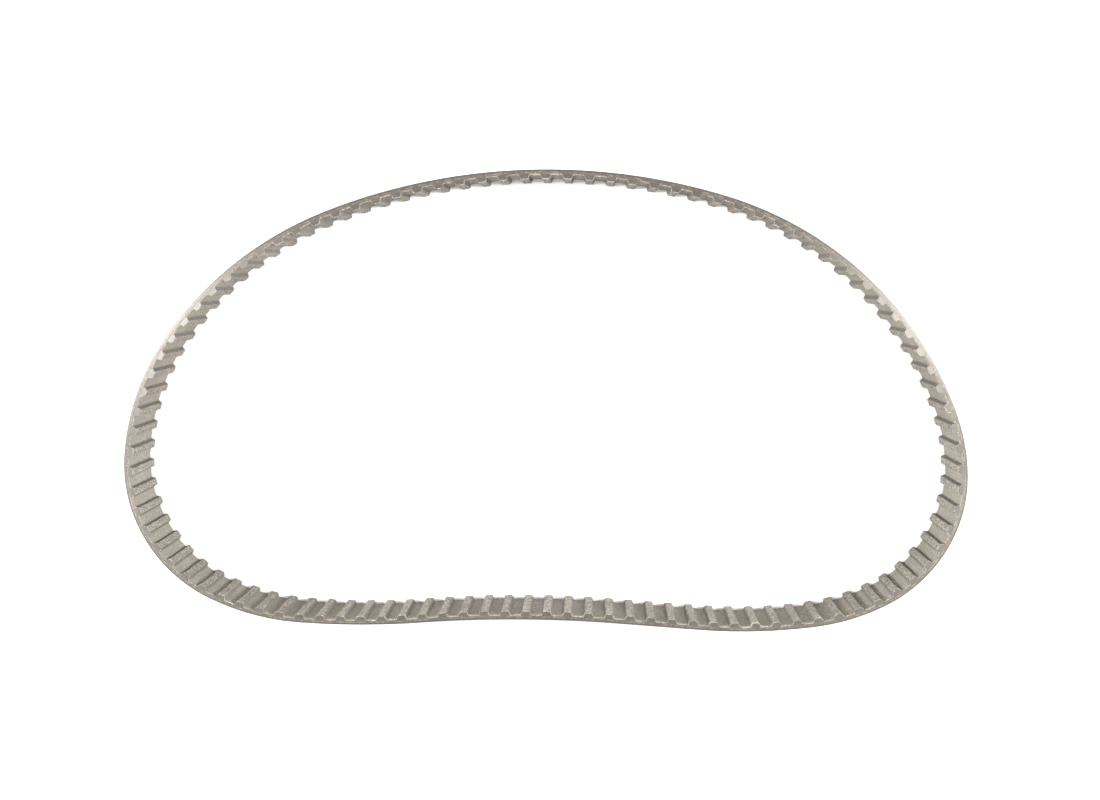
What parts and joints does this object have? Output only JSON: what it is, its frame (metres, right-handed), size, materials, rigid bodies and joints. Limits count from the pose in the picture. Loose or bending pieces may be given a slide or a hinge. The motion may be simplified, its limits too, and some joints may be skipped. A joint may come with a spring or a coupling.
{
  "type": "timing belt",
  "caption": "Closed rubber timing belt with trapezoidal teeth inside the loop, a woven tooth facing and cord reinforcement, standing on its edge in a bent loop.",
  "frame": {"origin": "on the plane of the cut edge the belt stands on, under the middle of the loop's outline", "axes": "+X along the loop's longest extent, +Y towards the wide arch opposite the inward hump, +Z across the belt's width, up from the edge it stands on"},
  "size_m": [0.3801, 0.2084, 0.0254],
  "materials": {
    "backing_rubber": "matte",
    "cushion_rubber": "matte",
    "tooth_rubber": "matte",
    "nylon_facing": "matte",
    "glass_cord": "matte"
  },
  "bodies": {
    "root": {"backing_rubber": "backing_rubber", "cord_cushion": "cushion_rubber", "tensile_cord_s_twist": "glass_cord", "tensile_cord_z_twist": "glass_cord", "facing_jacket": "nylon_facing", "tooth_cores_straight_run": "tooth_rubber", "tooth_cores_right_foot": "tooth_rubber", "tooth_cores_right_heel": "tooth_rubber", "tooth_cores_right_bend": "tooth_rubber", "tooth_cores_right_side": "tooth_rubber", "tooth_cores_right_shoulder": "tooth_rubber", "tooth_cores_crown": "tooth_rubber", "tooth_cores_left_shoulder": "tooth_rubber", "tooth_cores_left_side": "tooth_rubber", "tooth_cores_left_bend": "tooth_rubber", "tooth_cores_left_heel": "tooth_rubber", "tooth_cores_left_foot": "tooth_rubber", "tooth_cores_hump": "tooth_rubber"}
  },
  "joints": []
}
